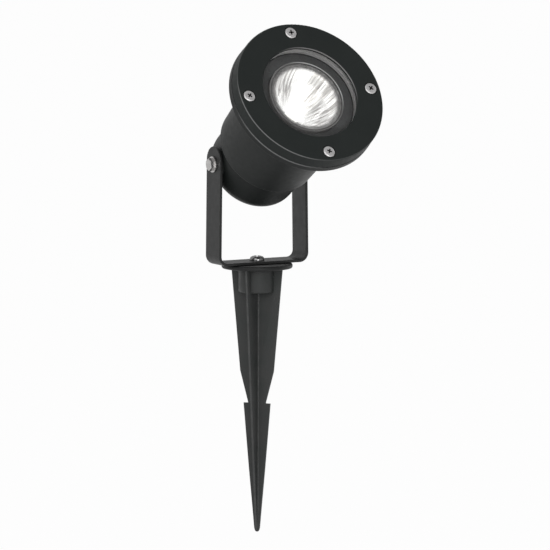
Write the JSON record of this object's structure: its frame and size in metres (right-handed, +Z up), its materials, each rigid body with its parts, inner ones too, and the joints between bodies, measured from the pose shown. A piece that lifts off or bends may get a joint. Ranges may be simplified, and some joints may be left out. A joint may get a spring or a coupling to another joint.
{
  "type": "landscape spotlight",
  "caption": "Garden spotlight: a round black head with a glazed screwed bezel tilts in a bent strip yoke that swivels on a barbed ground spike.",
  "frame": {"origin": "middle of the underside of the spike's flange, which stops at the soil's surface", "axes": "+Z up along the spike, +X along the tilt axis, the lamp looks towards -Y and up at rest"},
  "size_m": [0.0988, 0.1227, 0.3213],
  "materials": {
    "spike_plastic": "moulded dark grey plastic",
    "yoke_paint": "satin black paint on steel strip",
    "head_paint": "satin black powder coat on a die casting",
    "bezel_paint": "satin black powder coat on a die casting",
    "gasket_rubber": "black silicone rubber",
    "clear_glass": "clear toughened glass",
    "zinc_steel": "zinc plated",
    "dark_steel": "dark plated",
    "ring_metal": "grey anodised",
    "reflector": "bright faceted reflector",
    "lamp_glass": "clear glass",
    "capsule_glass": "lit capsule",
    "ceramic": "unglazed steatite ceramic",
    "plated_brass": "nickel plated brass",
    "block_plastic": "heat proof terminal plastic",
    "lead_sleeve": "silicone and glass fibre sleeve",
    "gland_plastic": "black nylon"
  },
  "bodies": {
    "spike": {"ground_spike": "spike_plastic", "yoke_screw": "dark_steel", "spike_nut": "zinc_steel"},
    "yoke": {"yoke_bracket": "yoke_paint"},
    "head": {"head_housing": "head_paint", "front_bezel": "bezel_paint", "glass_gasket": "gasket_rubber", "front_glass": "clear_glass", "bezel_screws": "zinc_steel", "lamp_support_ring": "ring_metal", "lamp_reflector": "reflector", "lamp_cover_glass": "lamp_glass", "lamp_capsule": "capsule_glass", "lamp_base": "ceramic", "lamp_pins": "plated_brass", "lamp_holder": "ceramic", "holder_contacts": "plated_brass", "holder_bracket": "zinc_steel", "holder_screws": "zinc_steel", "bracket_screws": "zinc_steel", "terminal_block": "block_plastic", "terminal_screws": "plated_brass", "block_screw": "zinc_steel", "holder_leads": "lead_sleeve", "earth_tag": "plated_brass", "gland_body": "gland_plastic", "gland_seal": "gasket_rubber", "gland_nut": "gland_plastic", "pivot_bolts": "zinc_steel", "pivot_washers": "zinc_steel"}
  },
  "joints": [
    {"name": "yoke_swivel", "type": "hinge", "parent": "spike", "child": "yoke", "pos_m": [0, 0, 0.0028], "axis": [0, 0, 1], "continuous": true},
    {"name": "head_tilt", "type": "hinge", "parent": "yoke", "child": "head", "pos_m": [0, 0, 0.0663], "axis": [-1, 0, 0], "range_deg": [-46, 154]}
  ]
}
